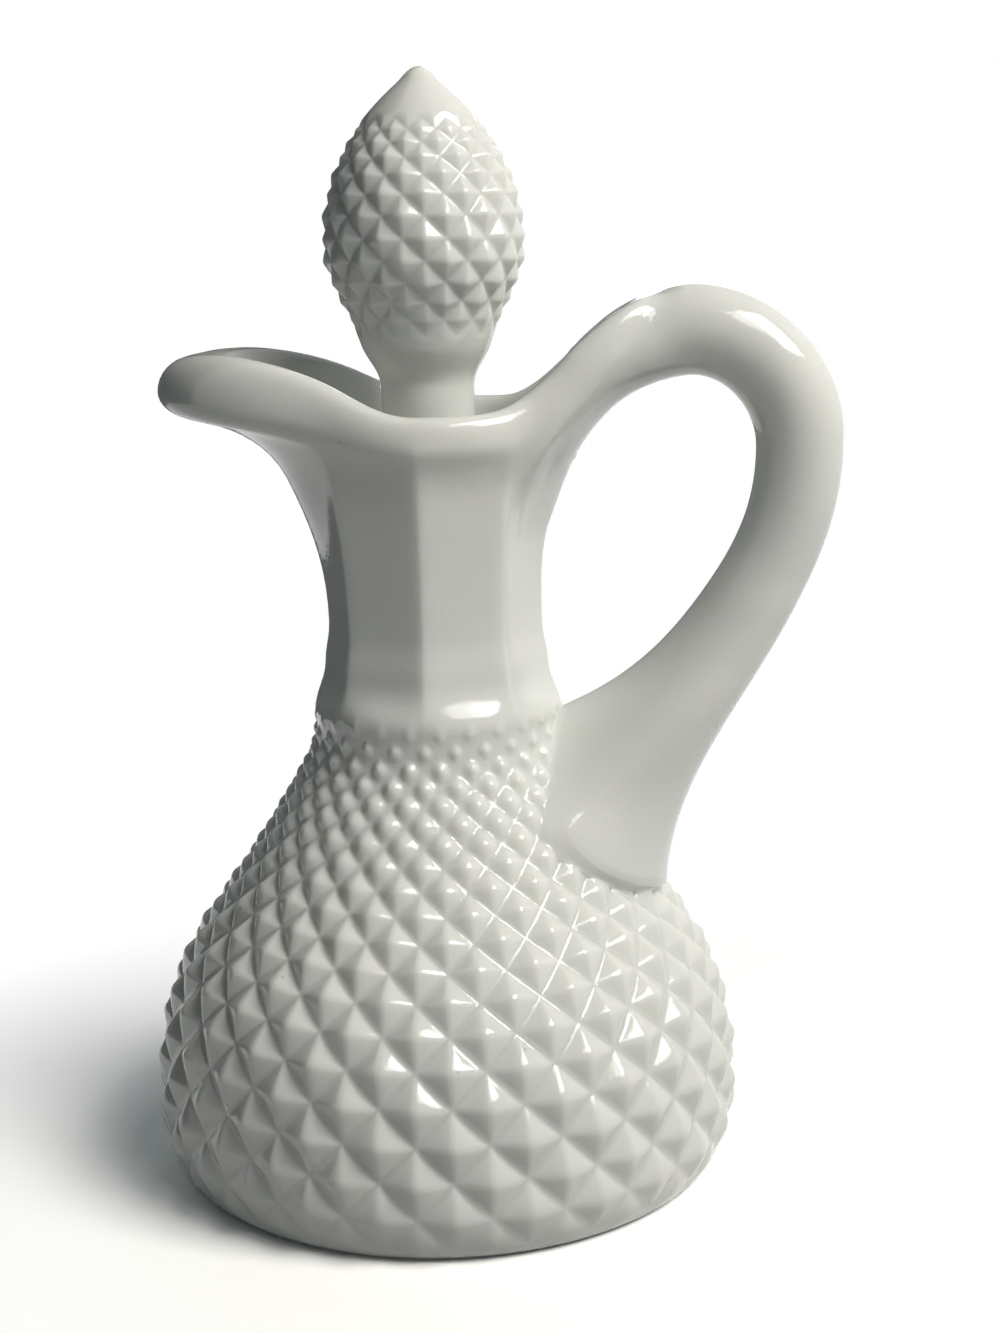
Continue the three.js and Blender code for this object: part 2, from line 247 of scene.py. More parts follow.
handleBar = {  # what ends in Until is counted in pieces along the bar's rails
    "reach": 61, "top": 133.6, "height": 110.6, "thickness": 12.8,
    "width": 12.2, "lipWidth": 18, "startWidth": 15, "innerStart": (16, 104.4), "outerStart": (17.6, 111.4),
    "startUntil": (-1, 0.3), "lipUntil": (0, 1), "lipRing": 18, "ringUntil": (-0.2, 0.7),
    "padPieces": 1.5, "padWidth": 36, "padFlare": 0.45, "padSweep": 2.5, "padFlat": 0.3,
    "padFlank": (3, 17), "padSettle": 0.4, "padFade": (58, 76), "rootDepth": 8,
    "padFillet": 1, "lipFillet": 9, "lipRise": (84, 100), "crestFillet": 2, "crestRise": (120, 129),
    "filletSwell": 0.4,
}
seam = {  # where handle and bottle meet
    "side": 8, "lowest": 35,  # it lies farther than this from the axis and above this height
    "reach": (0.7, 9, 3), "rounds": (2, 110, 14),  # at the pad, under the lip and on the lip's crest
    "lipRise": (92, 100), "crestRise": (118, 124), "touch": 0.05, "merge": 0.02, "thin": 0.01,
}
columnCount = 2 * bottle["diamonds"] * len(spacing)


def bowlCurve():
    footX = bottle["foot"] + bottle["footCorner"]
    return measured(outline([
        (bottle["neckRadius"] + 0.8, bottle["topRow"] + 7.4, -88),
        (bottle["shoulder"], bottle["topRow"], -90),
        (bottle["shoulder"] + 5.1, bottle["topRow"] - 12.8, -59),
        (*bottle["slope"], -54),
        (*bottle["belly"], -90),
        (footX, bottle["footCorner"] / 2, -136)]))


def panelShare(height):
    lipRoot = bottle["lip"][1] - 2 * bottle["panelFade"]
    return fade(height, bottle["topRow"], bottle["topRow"] + bottle["panelFade"]) * (
        1 - fade(height, lipRoot, lipRoot + 2 * bottle["panelFade"]))


def onPanel(distance, height, around):  # in to the octagon's flat side, with its edges a little rounded
    share = panelShare(height)
    if share == 0:
        return distance
    panel = 2 * pi / bottle["panels"]
    flat = cos(panel / 2) / cos(around % panel - panel / 2)
    soft = bottle["panelEdge"]
    rounded = -soft * log(exp(-flat / soft) + exp(-(1 - 0.5 * soft) / soft))
    return distance * mix(1, rounded, share)


def ribKnots():  # offsets from the named sizes, at the side, the spout and the handle
    radius, height = bottle["lip"]
    seat, seatTop = bottle["seat"][0], bottle["seatTop"]
    neck, waist = bottle["neckRadius"], bottle["waistHeight"]
    reach, top = bottle["spout"]
    handleTop = handleBar["top"]
    side = outline([
        (neck, waist, 90), (neck + 0.9, height - 14, 84), (radius + 0.4, height - 8, 74),
        (radius + bottle["rim"] / 2 - 0.2, height - 4, 98), (radius - 0.7, height, 180),
        (radius - bottle["rim"], height - 4, 240), (seat, seatTop, 225)])
    spout = outline([
        (neck, waist, 90), (neck + 5.5, height - 10.5, 65), (reach - 4.1, height - 0.8, 10),
        (reach, height + 2.9, 90), (reach - 6.4, top, 180), (reach - 15.5, top - 7.5, 228),
        (seat, seatTop, 222)])
    handle = outline([
        (neck, waist, 90), (neck + 2.4, height - 14.4, 67), (neck + 6.8, height - 5.4, 60),
        (radius + 17, handleTop - 5, 70), (radius + 16, handleTop - 1.2, 180),
        (radius + 7.2, handleTop - 10.4, 229), (seat, seatTop, 226)])
    return side, spout, handle


ribs = ribKnots()
crestPiece = 4  # a rib's first four pieces are the outside, up to the rim's crest


def lipRow(along):  # the section at the side, drawn out towards the pouring lip and the handle
    side, spout, handle = [onKnots(rib, along) for rib in ribs]
    wideSpout, spoutShare = bottle["spoutSpread"]
    wideTongue, tongueShare = bottle["tongueSpread"]
    atCrest = max(0, 1 - abs(along - crestPiece))

    def cornerAt(column):
        around = column * 2 * pi / columnCount
        toSpout, toHandle = max(0, -sin(around)), max(0, sin(around))
        notch = bottle["spoutNotch"] * toSpout ** bottle["notchSharpness"] * atCrest
        climb = toSpout ** bottle["spoutClimb"]
        beak = mix(toSpout ** bottle["spoutSharpness"], toSpout ** wideSpout, spoutShare)
        tongue = toHandle ** bottle["tongueSharpness"]
        arched = tongue + bottle["tongueArch"] * tongue ** 2 * (1 - tongue)
        risen = mix(arched, toHandle ** wideTongue, tongueShare)
        distance = side.x + beak * (spout.x - side.x) + tongue * (handle.x - side.x)
        height = side.y + climb * (spout.y - side.y) + risen * (handle.y - side.y) - notch
        if along < crestPiece:
            distance = onPanel(distance, height, around)
        return distance, height, around
    return cornerAt


def plainRow(distance, height):
    return lambda column: (distance, height, column * 2 * pi / columnCount)


def neckRow(distance, height, spread):  # spread 1 keeps the columns of the relief, 0 spaces them evenly
    def cornerAt(column):
        fine = len(spacing)
        even = column * 2 * pi / columnCount
        spaced = (column // fine + spacing[column % fine]) * fine * 2 * pi / columnCount
        around = mix(even, spaced, spread)
        return onPanel(distance, height, around), height, around
    return cornerAt


def cavityRows(curve):
    wallSteps, filletSteps = 14, 6
    throat, throatFloor = bottle["throat"]
    seat, seatHeight = bottle["seat"]
    edge, fillet = bottle["seatEdge"], bottle["floorFillet"]
    rows = [plainRow(*place) for place in (
        (seat, seatHeight + edge), (seat - 0.2, seatHeight), (throat + edge, seatHeight),
        (throat, seatHeight - edge), (throat, bottle["throatRing"]),
        (throat, throatFloor + 1), (throat + 0.3, throatFloor - 1))]
    top = lengthToHeight(curve, bottle["topRow"])
    bottom = lengthToHeight(curve, bottle["base"] + fillet)
    for step in range(wallSteps + 1):
        place, run = onCurve(curve, mix(top, bottom, step / wallSteps))
        corner = place + Vector((run.y, -run.x, 0)) * bottle["wall"]
        rows.append(plainRow(corner.x, corner.y))
    radius = corner.y - bottle["base"]
    middle = corner.x - fillet
    for step in range(1, filletSteps + 1):
        turn = step / filletSteps * pi / 2
        rows.append(plainRow(middle + fillet * cos(turn), corner.y - radius * sin(turn)))
    return rows + [plainRow(middle / 2, bottle["base"]), plainRow(0, bottle["base"])]


def bottleShell():
    footSteps, shoulderSteps, neckSteps, lipSteps, mouthSteps = 4, 6, 5, 9, 12
    curve = bowlCurve()
    start = lengthToHeight(curve, bottle["topRow"])
    relief, end = reliefRows(curve, start, bottle)
    foot = bottle["foot"]
    rows = [plainRow(distance, 0) for distance in (0, bottle["footRing"], foot - 1, foot)]
    for step in range(footSteps):  # from the foot's edge up to the last band of diamonds
        place, _ = onCurve(curve, mix(curve[1][-1], end, step / footSteps))
        rows.append(plainRow(place.x, place.y))
    rows += reversed(relief)
    bandRows = len(rows) - len(relief), len(rows) - 1
    for step in range(1, shoulderSteps + 1):
        place, _ = onCurve(curve, start * (1 - step / shoulderSteps))
        rows.append(neckRow(place.x, place.y, 1 - step / shoulderSteps))
    neck = outline([(place.x, place.y, 92), (bottle["neckRadius"], bottle["waistHeight"], 90)], neckSteps)
    rows += [neckRow(place.x, place.y, 0) for place in neck[1:-1]]
    lastOuter = len(rows) + lipSteps * crestPiece
    rows += [lipRow(step / lipSteps) for step in range(lipSteps * crestPiece)]
    rows += [lipRow(crestPiece + step / mouthSteps) for step in range(2 * mouthSteps + 1)]
    rows += cavityRows(curve)
    shell = spunShell(rows, columnCount)
    foldAlongGrooves(shell, bandRows, columnCount)
    return shell, lastOuter


def railsOfHandle():  # the bar's inner and outer outline, from the lip round to the bowl
    bar = handleBar
    reach = bar["reach"] - bar["thickness"]
    inner = [
        (bottle["neckRadius"] + 5.1, bottle["lip"][1] - 8.6, 65),
        (reach - 9.6, bar["top"] - bar["thickness"] - 0.4, 0), (reach, bar["height"] - 0.6, -90),
        (bottle["slope"][0] + 4.5, bottle["topRow"] + 19.4, -124),
        (bottle["shoulder"] + 1.7, bottle["topRow"] + 0.8, -156)]
    outer = [
        (bottle["lip"][0] + 4, bar["top"] - 15.1, 50), (bar["reach"] - 22.1, bar["top"], 0),
        (bar["reach"], bar["height"] + 0.7, -90), (bottle["slope"][0] + 17, bottle["topRow"] + 15.1, -117),
        (bottle["slope"][0] - 2.3, bottle["slope"][1] + 4.2, -94)]
    return inner, outer


def onRail(knots, points, start, along):  # straight on past both ends of the rail
    pieces = len(knots) - 1
    if along < 0:
        return points[0].lerp(Vector((*start, 0)), -along)
    if along > pieces:
        root = (along - pieces) * handleBar["rootDepth"]
        return points[-1] - Vector((root, root / 2, 0))
    return onKnots(points, along)


def wrapped(ring, y):  # how far a ring around the axis falls back at the side
    return ring - sqrt(max(0, ring * ring - y * y))


def handleShell():
    bar = handleBar
    sides, perPiece = 64, 30
    inner, outer = railsOfHandle()
    innerPoints, outerPoints = outline(inner), outline(outer)
    pieces = len(inner) - 1
    shell = bmesh.new()  # first a straight rod of radius 1, one unit for each piece of the rails
    ring = bmesh.ops.create_circle(shell, cap_ends=False, radius=1, segments=sides)["verts"]
    bmesh.ops.translate(shell, verts=ring, vec=(0, 0, -1))
    bmesh.ops.spin(
        shell, geom=shell.verts[:] + shell.edges[:], cent=(0, 0, 0), axis=(0, 0, 1),
        dvec=(0, 0, 1 / perPiece), angle=0, space=Matrix.Identity(4), steps=(pieces + 2) * perPiece,
        use_merge=False, use_normal_flip=False, use_duplicate=False)
    bmesh.ops.holes_fill(shell, edges=shell.edges, sides=sides)
    for corner in shell.verts:
        across, aside, along = corner.co
        near = onRail(inner, innerPoints, bar["innerStart"], along)
        far = onRail(outer, outerPoints, bar["outerStart"], along)
        lipEnd = mix(bar["lipWidth"], bar["width"], fade(along, *bar["lipUntil"]))
        lipEnd = mix(bar["startWidth"], lipEnd, fade(along, *bar["startUntil"]))
        toPad = min(max((along - pieces + bar["padPieces"]) / bar["padPieces"], 0), 1)
        atPad = toPad ** bar["padSweep"]
        flat = mix(0, bar["padFlat"], atPad)  # 0 is a round section, 1 has straight flanks
        across, aside = across * abs(across) ** flat, aside * abs(aside) ** flat
        width = mix(lipEnd, bar["padWidth"] * (1 + bar["padFlare"] * across), atPad)
        middle = near.lerp(far, (1 + across) / 2)
        y = aside * width / 2
        onLip = 1 - fade(along, *bar["ringUntil"])
        bend = onLip * wrapped(bar["lipRing"], y) + atPad * wrapped(middle.x, y)
        corner.co = (middle.x - bend, y, middle.y)
    closedUp(shell)
    return shell


def filletOut(distance, reach):  # how far a face stands out at a distance from the other face
    near = reach / 4
    if distance >= reach or distance < -near:
        return 0
    if distance >= near:
        return (sqrt(reach) - sqrt(distance)) ** 2
    return near + handleBar["filletSwell"] * (near - abs(distance))


def besideBowl():  # nearest place on the bowl's plain outline, without its relief
    curve = bowlCurve()
    tree = KDTree(len(curve[0]))
    for number, place in enumerate(curve[0]):
        tree.insert(place, number)
    tree.balance()

    def nearest(corner):
        out = Vector((corner.x, corner.y, 0)).normalized()
        place, number, distance = tree.find((hypot(corner.x, corner.y), corner.z, 0))
        run = onCurve(curve, curve[1][number])[1]
        return out * place.x + Vector((0, 0, place.y)), (out * -run.y + Vector((0, 0, run.x))), distance
    return nearest


def settledPad(bar):  # the pad's flanks come down towards the bowl, its ridge keeps the outline
    nearest = besideBowl()
    moves = []
    for corner in bar.verts:
        found, normal, distance = nearest(corner.co)
        low = 1 - fade(corner.co.z, *handleBar["padFade"])
        if low > 0 and (corner.co - found).dot(normal) > 0:
            share = fade(abs(corner.co.y), *handleBar["padFlank"]) * low
            moves.append((corner, -normal * distance * handleBar["padSettle"] * share))
    return moves


def swellTowards(shell, other, corners):  # a shell's corners swell into a fillet beside the other shell
    shell.normal_update()
    tree = BVHTree.FromBMesh(other)
    moves = []
    for corner in corners:
        reach = mix(handleBar["padFillet"], handleBar["lipFillet"], fade(corner.co.z, *handleBar["lipRise"]))
        reach = mix(reach, handleBar["crestFillet"], fade(corner.co.z, *handleBar["crestRise"]))
        found, normal, _, distance = tree.find_nearest(corner.co, reach)
        if found is None:
            continue
        if (corner.co - found).dot(normal) < 0:
            distance = -distance
        facing = min(1, 1 - corner.normal.dot(normal))  # no fillet where both faces look the same way
        moves.append((corner, corner.normal * facing * filletOut(distance, reach)))
    return moves


def joinedGlass():
    body, lastOuter = bottleShell()
    closedUp(body)
    bar = handleShell()
    rowOf = body.verts.layers.int["row"]
    outside = [corner for corner in body.verts
               if corner[rowOf] <= lastOuter and corner.co.x > seam["side"]]
    bar.normal_update()
    for corner, move in settledPad(bar):
        corner.co += move
    for corner, move in swellTowards(body, bar, outside) + swellTowards(bar, body, bar.verts):
        corner.co += move
    bodyTree, barTree = BVHTree.FromBMesh(body), BVHTree.FromBMesh(bar)
    glass, handle = pieceFrom(body, "milkGlassBottle"), pieceFrom(bar, "handleBar")
    join = glass.modifiers.new("joinHandle", "BOOLEAN")
    join.operation = "UNION"
    join.solver = "MANIFOLD"
    join.object = handle
    fused = bpy.data.meshes.new_from_object(glass.evaluated_get(bpy.context.evaluated_depsgraph_get()))
    glass.modifiers.clear()
    glass.data = fused
    bpy.data.objects.remove(handle)
    softenSeam(glass, bodyTree, barTree)
    return glass


def softenSeam(glass, bodyTree, barTree):  # the glass flows over the joint, most of all under the lip
    mesh = bmesh.new()
    mesh.from_mesh(glass.data)
    bmesh.ops.scale(mesh, vec=(1 / millimetre,) * 3, verts=mesh.verts)
    bmesh.ops.remove_doubles(mesh, verts=mesh.verts, dist=seam["merge"])
    bmesh.ops.dissolve_degenerate(mesh, dist=seam["thin"], edges=mesh.edges)
    handleSide = [corner for corner in mesh.verts
                  if corner.co.x >= seam["side"] and corner.co.z >= seam["lowest"]]
    onSeam = []
    for corner in handleSide:
        onBody = bodyTree.find_nearest(corner.co, seam["touch"])[0]
        onBar = barTree.find_nearest(corner.co, seam["touch"])[0]
        if onBody and onBar:
            onSeam.append(corner)
    tree = KDTree(len(onSeam))
    for number, corner in enumerate(onSeam):
        tree.insert(corner.co, number)
    tree.balance()
    near = []
    for corner in handleSide:
        found, _, distance = tree.find(corner.co)
        lip, crest = fade(found.z, *seam["lipRise"]), fade(found.z, *seam["crestRise"])
        reach, rounds = [
            mix(mix(atPad, atLip, lip), atCrest, crest)
            for atPad, atLip, atCrest in (seam["reach"], seam["rounds"])]
        if distance < reach:
            near.append((corner, rounds * (1 - distance / reach)))
    for turn in range(max(seam["rounds"])):
        soft = [corner for corner, rounds in near if rounds > turn]
        bmesh.ops.smooth_vert(
            mesh, verts=soft, factor=0.5, use_axis_x=True, use_axis_y=True, use_axis_z=True)
    print("seam corners", len(onSeam), "faces", len(mesh.faces))
    bmesh.ops.scale(mesh, vec=(millimetre,) * 3, verts=mesh.verts)
    mesh.to_mesh(glass.data)
    mesh.free()
    glass.data.polygons.foreach_set("use_smooth", [True] * len(glass.data.polygons))


# The stopper

knob = {
    "diamonds": 14, "bands": 13, "stretch": 1, "rise": 0.34, "topLead": 2, "softTop": 4,
    "footLead": 0.5, "softFoot": 2.5, "ridge": 0.06, "bulge": 1,
    "bead": (0.8, 0.8), "dome": 1.25, "beadsUntil": (-2, -1),  # above the first band: it has no round beads
    "radius": 15, "height": 140.2, "top": 165, "firstBand": 157.8, "turn": 7,
    "shank": 6.95, "shankTop": 119.4, "shankEnd": 88, "shankRings": (98, 108, 114),
    "chamfer": 1, "chamferRound": (0.1, 0.3),
}


def stopperShell():
    neckSteps, tipSteps = 24, 18
    count = 2 * knob["diamonds"] * len(spacing)
    turn = radians(knob["turn"])
    curve = measured(outline([
        (0, knob["top"], 0), (3.4, knob["top"] - 2.4, -40), (knob["radius"], knob["height"], -90),
        (knob["shank"] + 2.7, knob["shankTop"] + 6.3, -108), (knob["shank"], knob["shankTop"], -90)]))
    start = lengthToHeight(curve, knob["firstBand"])
    relief, end = reliefRows(curve, start, knob, turn)

    def ringRow(distance, height):
        return lambda column: (distance, height, column * 2 * pi / count + turn)

    shank, shankEnd = knob["shank"], knob["shankEnd"]
    chamfer, (near, far) = knob["chamfer"], knob["chamferRound"]
    rows = [ringRow(*place) for place in (
        (0, shankEnd), (shank - chamfer - far, shankEnd), (shank - chamfer, shankEnd + near),
        (shank - near, shankEnd + chamfer), (shank, shankEnd + chamfer + far))]
    rows += [ringRow(shank, height) for height in knob["shankRings"]]
    for step in range(neckSteps):
        place, _ = onCurve(curve, mix(curve[1][-1], end, step / neckSteps))
        rows.append(ringRow(place.x, place.y))
    rows += reversed(relief)
    bandRows = len(rows) - len(relief), len(rows) - 1
    for step in range(1, tipSteps + 1):
        place, _ = onCurve(curve, start * (1 - step / tipSteps))
        rows.append(ringRow(max(0, place.x), place.y))
    shell = spunShell(rows, count)
    foldAlongGrooves(shell, bandRows, count)
    closedUp(shell)
    return shell


# The soft sleeve on the shank

sleeve = {
    "clearance": 0.3, "wall": 0.8, "floor": 1.1, "flange": 1.1, "ribs": 3, "ribWidth": 1.5,
    "bevel": 0.16, "bevelFrom": 30, "columns": 96,
}


def sleevePiece():
    gap = sleeve["clearance"]
    inner = knob["shank"] + gap
    outer = inner + sleeve["wall"]
    ribOuter = bottle["throat"][0] - gap
    floorTop = knob["shankEnd"] - gap
    bottom = floorTop - sleeve["floor"]
    flangeBottom = bottle["seat"][1] + gap
    flangeOuter = bottle["seat"][0] - gap
    top = flangeBottom + sleeve["flange"]
    pitch = (flangeBottom - bottom) / (sleeve["ribs"] + 1)
    profile = [(0, bottom), (outer - sleeve["floor"], bottom), (outer, bottom + sleeve["floor"])]
    for rib in range(1, sleeve["ribs"] + 1):
        middle, half = bottom + rib * pitch, sleeve["ribWidth"] / 2
        profile += [(outer, middle - half), (ribOuter, middle - half / 2), (ribOuter, middle + half / 2),
                    (outer, middle + half)]
    profile += [(outer, flangeBottom), (flangeOuter, flangeBottom), (flangeOuter, top), (inner, top),
                (inner, floorTop), (0, floorTop)]
    count = sleeve["columns"]
    shell = spunShell(
        [lambda column, place=place: (*place, column * 2 * pi / count) for place in profile], count)
    closedUp(shell)
    piece = pieceFrom(shell, "softSleeve")
    edges = piece.modifiers.new("softEdges", "BEVEL")
    edges.width = sleeve["bevel"] * millimetre
    edges.segments = 2
    edges.angle_limit = radians(sleeve["bevelFrom"])
    return piece


# Materials

glassLook = {  # clouds are per metre, the depths and the subsurface scale are metres
    "milk": (0.74, 0.745, 0.715, 1), "cloud": (0.69, 0.705, 0.685, 1), "speck": (0.42, 0.39, 0.34, 1),
    "roughness": (0.04, 0.12), "subsurface": 0.8, "subsurfaceRadius": (1.0, 0.92, 0.8),
    "subsurfaceScale": 0.003, "ior": 1.5,
    "bottleClouds": 26, "stopperClouds": 40, "rippleDepth": 0.00006, "peelDepth": 0.00002,
}
sleeveLook = {
    "pale": (0.74, 0.76, 0.73, 1), "aged": (0.66, 0.66, 0.58, 1), "roughness": (0.38, 0.55),
    "subsurface": 0.4, "subsurfaceScale": 0.0015,
    "clouds": 120, "rippleDepth": 0.00002, "peelDepth": 0.00001,
}
pattern = {  # masks are from, until and their two results
    "clouds": {"detail": 3, "roughness": 0.55, "distortion": 0.6}, "cloudMask": (0.38, 0.66, 0, 1),
    "specks": 210, "speckMask": (0.035, 0.075, 0.55, 0),
    "patches": {"scale": 60, "detail": 1}, "patchMask": (0.58, 0.64, 0, 1),
    "gloss": {"scale": 90, "detail": 4, "roughness": 0.6}, "glossMask": (0.35, 0.7, 0, 1),
    "ripple": {"scale": 150, "detail": 1}, "peel": {"scale": 1500, "detail": 2},
}


def linked(tree, output, socket):
    tree.links.new(output, socket)


def noiseNode(nodes, detail, scale=1, roughness=0.5, distortion=0):
    noise = nodes.new("ShaderNodeTexNoise")
    noise.inputs["Scale"].default_value = scale
    noise.inputs["Detail"].default_value = detail
    noise.inputs["Roughness"].default_value = roughness
    noise.inputs["Distortion"].default_value = distortion
    return noise


def mapRange(nodes, fromLow, fromHigh, toLow, toHigh):
    node = nodes.new("ShaderNodeMapRange")
    node.inputs["From Min"].default_value = fromLow
    node.inputs["From Max"].default_value = fromHigh
    node.inputs["To Min"].default_value = toLow
    node.inputs["To Max"].default_value = toHigh
    return node


def pressedSurfaceGroup():  # clouds in the glass, a few dark specks, uneven gloss and a faint ripple
    group = bpy.data.node_groups.new("pressedSurface", "ShaderNodeTree")
    sockets = (
        ("Vector", "INPUT", "NodeSocketVector"), ("Milk", "INPUT", "NodeSocketColor"),
        ("Cloud", "INPUT", "NodeSocketColor"), ("Speck", "INPUT", "NodeSocketColor"),
        ("Cloud Scale", "INPUT", "NodeSocketFloat"), ("Smooth", "INPUT", "NodeSocketFloat"),
        ("Dull", "INPUT", "NodeSocketFloat"), ("Ripple", "INPUT", "NodeSocketFloat"),
        ("Peel", "INPUT", "NodeSocketFloat"), ("Color", "OUTPUT", "NodeSocketColor"),
        ("Roughness", "OUTPUT", "NodeSocketFloat"), ("Height", "OUTPUT", "NodeSocketFloat"))
    for name, side, kind in sockets:
        group.interface.new_socket(name, in_out=side, socket_type=kind)
    nodes = group.nodes
    given, result = nodes.new("NodeGroupInput"), nodes.new("NodeGroupOutput")

    clouds = noiseNode(nodes, **pattern["clouds"])
    linked(group, given.outputs["Vector"], clouds.inputs["Vector"])
    linked(group, given.outputs["Cloud Scale"], clouds.inputs["Scale"])
    cloudMask = mapRange(nodes, *pattern["cloudMask"])
    linked(group, clouds.outputs["Fac"], cloudMask.inputs["Value"])
    cloudy = nodes.new("ShaderNodeMix")
    cloudy.data_type = "RGBA"
    linked(group, cloudMask.outputs["Result"], cloudy.inputs["Factor"])
    linked(group, given.outputs["Milk"], cloudy.inputs["A"])
    linked(group, given.outputs["Cloud"], cloudy.inputs["B"])

    specks = nodes.new("ShaderNodeTexVoronoi")
    specks.inputs["Scale"].default_value = pattern["specks"]
    linked(group, given.outputs["Vector"], specks.inputs["Vector"])
    speckMask = mapRange(nodes, *pattern["speckMask"])
    linked(group, specks.outputs["Distance"], speckMask.inputs["Value"])
    patches = noiseNode(nodes, **pattern["patches"])  # the specks lie in a few patches
    linked(group, given.outputs["Vector"], patches.inputs["Vector"])
    patchMask = mapRange(nodes, *pattern["patchMask"])
    linked(group, patches.outputs["Fac"], patchMask.inputs["Value"])
    few = nodes.new("ShaderNodeMath")
    few.operation = "MULTIPLY"
    linked(group, speckMask.outputs["Result"], few.inputs[0])
    linked(group, patchMask.outputs["Result"], few.inputs[1])
    speckled = nodes.new("ShaderNodeMix")
    speckled.data_type = "RGBA"
    linked(group, few.outputs["Value"], speckled.inputs["Factor"])
    linked(group, cloudy.outputs["Result"], speckled.inputs["A"])
    linked(group, given.outputs["Speck"], speckled.inputs["B"])
    linked(group, speckled.outputs["Result"], result.inputs["Color"])

    gloss = noiseNode(nodes, **pattern["gloss"])
    linked(group, given.outputs["Vector"], gloss.inputs["Vector"])
    glossMask = mapRange(nodes, *pattern["glossMask"])
    linked(group, gloss.outputs["Fac"], glossMask.inputs["Value"])
    uneven = nodes.new("ShaderNodeMix")
    linked(group, glossMask.outputs["Result"], uneven.inputs["Factor"])
    linked(group, given.outputs["Smooth"], uneven.inputs["A"])
    linked(group, given.outputs["Dull"], uneven.inputs["B"])
    linked(group, uneven.outputs["Result"], result.inputs["Roughness"])

    heights = []
    for name, depth in (("ripple", "Ripple"), ("peel", "Peel")):
        texture = noiseNode(nodes, **pattern[name])
        linked(group, given.outputs["Vector"], texture.inputs["Vector"])
        scaled = nodes.new("ShaderNodeMath")
        scaled.operation = "MULTIPLY"
        linked(group, texture.outputs["Fac"], scaled.inputs[0])
        linked(group, given.outputs[depth], scaled.inputs[1])
        heights.append(scaled)
    height = nodes.new("ShaderNodeMath")
    height.operation = "ADD"
    linked(group, heights[0].outputs["Value"], height.inputs[0])
    linked(group, heights[1].outputs["Value"], height.inputs[1])
    linked(group, height.outputs["Value"], result.inputs["Height"])
    return group


def surfaceMaterial(name, group, values):
    material = bpy.data.materials.new(name)
    material.use_nodes = True
    tree = material.node_tree
    shader = tree.nodes["Principled BSDF"]
    place = tree.nodes.new("ShaderNodeTexCoord")
    surface = tree.nodes.new("ShaderNodeGroup")
    surface.node_tree = group
    linked(tree, place.outputs["Object"], surface.inputs["Vector"])
    for socket, value in values.items():
        surface.inputs[socket].default_value = value
    linked(tree, surface.outputs["Color"], shader.inputs["Base Color"])
    linked(tree, surface.outputs["Roughness"], shader.inputs["Roughness"])
    bump = tree.nodes.new("ShaderNodeBump")
    bump.inputs["Distance"].default_value = 1
    linked(tree, surface.outputs["Height"], bump.inputs["Height"])
    linked(tree, bump.outputs["Normal"], shader.inputs["Normal"])
    return material, shader


def milkGlass(name, group, clouds):
    smooth, dull = glassLook["roughness"]
    material, shader = surfaceMaterial(name, group, {
        "Milk": glassLook["milk"], "Cloud": glassLook["cloud"], "Speck": glassLook["speck"],
        "Cloud Scale": clouds, "Smooth": smooth, "Dull": dull,
        "Ripple": glassLook["rippleDepth"], "Peel": glassLook["peelDepth"]})
    shader.inputs["IOR"].default_value = glassLook["ior"]
    shader.inputs["Subsurface Weight"].default_value = glassLook["subsurface"]
    shader.inputs["Subsurface Radius"].default_value = glassLook["subsurfaceRadius"]
    shader.inputs["Subsurface Scale"].default_value = glassLook["subsurfaceScale"]
    return material


def softPlastic(group):
    smooth, dull = sleeveLook["roughness"]
    material, shader = surfaceMaterial("cloudyPlastic", group, {
        "Milk": sleeveLook["pale"], "Cloud": sleeveLook["aged"], "Speck": sleeveLook["aged"],
        "Cloud Scale": sleeveLook["clouds"], "Smooth": smooth, "Dull": dull,
        "Ripple": sleeveLook["rippleDepth"], "Peel": sleeveLook["peelDepth"]})
    shader.inputs["Subsurface Weight"].default_value = sleeveLook["subsurface"]
    shader.inputs["Subsurface Scale"].default_value = sleeveLook["subsurfaceScale"]
    return material


# Making the pieces

glassBottle = joinedGlass()
print("bottle joined", len(glassBottle.data.polygons))
glassStopper = pieceFrom(stopperShell(), "milkGlassStopper")
print("stopper turned", len(glassStopper.data.polygons))
softSleeve = sleevePiece()

pressedSurface = pressedSurfaceGroup()
glassBottle.data.materials.clear()
glassBottle.data.materials.append(milkGlass("bottleGlass", pressedSurface, glassLook["bottleClouds"]))
glassStopper.data.materials.append(milkGlass("stopperGlass", pressedSurface, glassLook["stopperClouds"]))
softSleeve.data.materials.append(softPlastic(pressedSurface))
for piece, node, body, slot in (
        (glassBottle, "cruet_body", "bottle", "body_glass"),
        (glassStopper, "stopper", "stopper", "stopper_glass"),
        (softSleeve, "sealing_sleeve", "seal", "soft_plastic")):
    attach(piece, body)
    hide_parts(node)
print("pieces dressed")


# Studio

